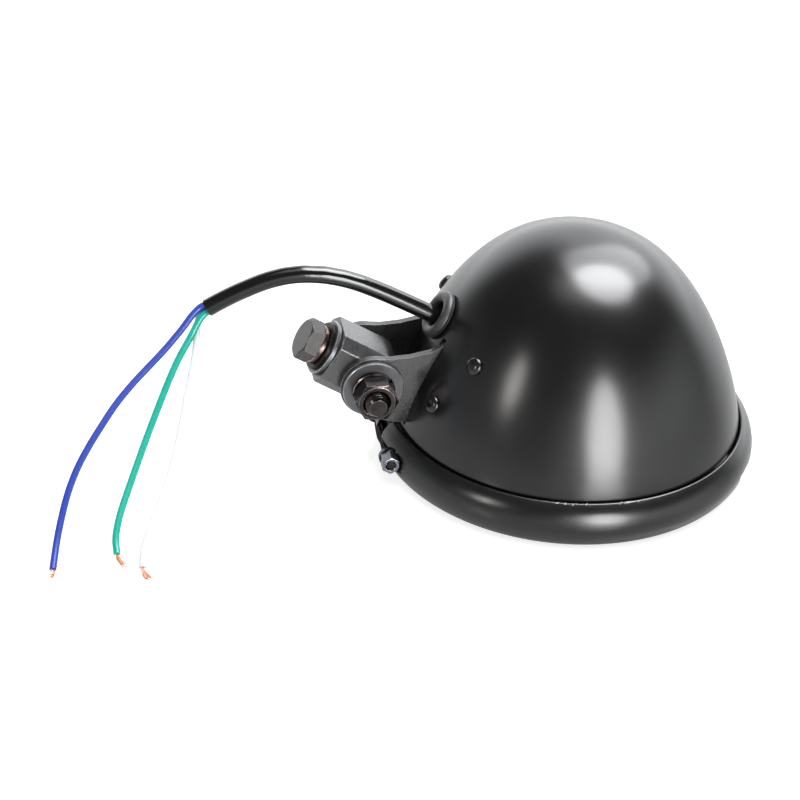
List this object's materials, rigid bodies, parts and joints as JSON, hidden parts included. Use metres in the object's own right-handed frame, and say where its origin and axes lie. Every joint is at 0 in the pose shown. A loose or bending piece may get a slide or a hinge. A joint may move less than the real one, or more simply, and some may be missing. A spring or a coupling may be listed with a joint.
{
  "type": "motorcycle headlight",
  "caption": "Round bucket headlight with a split trim ring, two riveted ears, a tilting mounting block with its bolt, and a short three-wire lead.",
  "frame": {"origin": "on the lamp's axis, in the plane of the trim ring's front edge, on which the lamp rests", "axes": "+Z along the lamp's axis from the lens to the crown of the bucket, -X towards the mounting block, -Y is the side of the pivot nut"},
  "size_m": [0.3054, 0.1683, 0.1029],
  "materials": {
    "shell_paint": "satin",
    "ring_paint": "satin",
    "ear_paint": "satin",
    "block_paint": "matt",
    "dark_zinc": "polished",
    "grey_zinc": "satin",
    "steel": "brushed",
    "bright_metal": "polished",
    "mirror_coat": "polished",
    "black_rubber": "matt",
    "black_plastic": "matt",
    "sheath_pvc": "gloss",
    "blue_pvc": "satin",
    "green_pvc": "satin",
    "white_pvc": "satin",
    "copper": "polished",
    "lens_glass": "clear"
  },
  "bodies": {
    "lamp": {"shell": "shell_paint", "trim_ring": "ring_paint", "ring_screw": "dark_zinc", "ring_nut": "dark_zinc", "lens": "lens_glass", "lens_gasket": "black_rubber", "reflector": "mirror_coat", "bulb_glass": "lens_glass", "bulb_base": "bright_metal", "bulb_clip": "bright_metal", "dust_boot": "black_rubber", "connector": "black_plastic", "lead_tail": "sheath_pvc", "ear_right": "ear_paint", "ear_left": "ear_paint", "rivets": "ear_paint", "grommet": "black_rubber", "pivot_bolt": "dark_zinc", "pivot_washer_right": "grey_zinc", "pivot_washer_left": "grey_zinc", "pivot_lock_washer": "dark_zinc", "pivot_nut": "dark_zinc", "sheath": "sheath_pvc", "wire_blue": "blue_pvc", "wire_green": "green_pvc", "wire_white": "white_pvc", "copper_blue": "copper", "copper_green": "copper", "copper_white": "copper"},
    "mount_arm": {"pivot_block": "block_paint", "mount_bolt": "steel", "mount_lock_washer": "steel", "mount_washer_black": "dark_zinc", "mount_washer_wide": "grey_zinc"}
  },
  "joints": [
    {"name": "aim_tilt", "type": "hinge", "parent": "lamp", "child": "mount_arm", "pos_m": [-0.087, 0, 0.0426], "axis": [0, 1, 0], "range_deg": [-80, 32]}
  ]
}
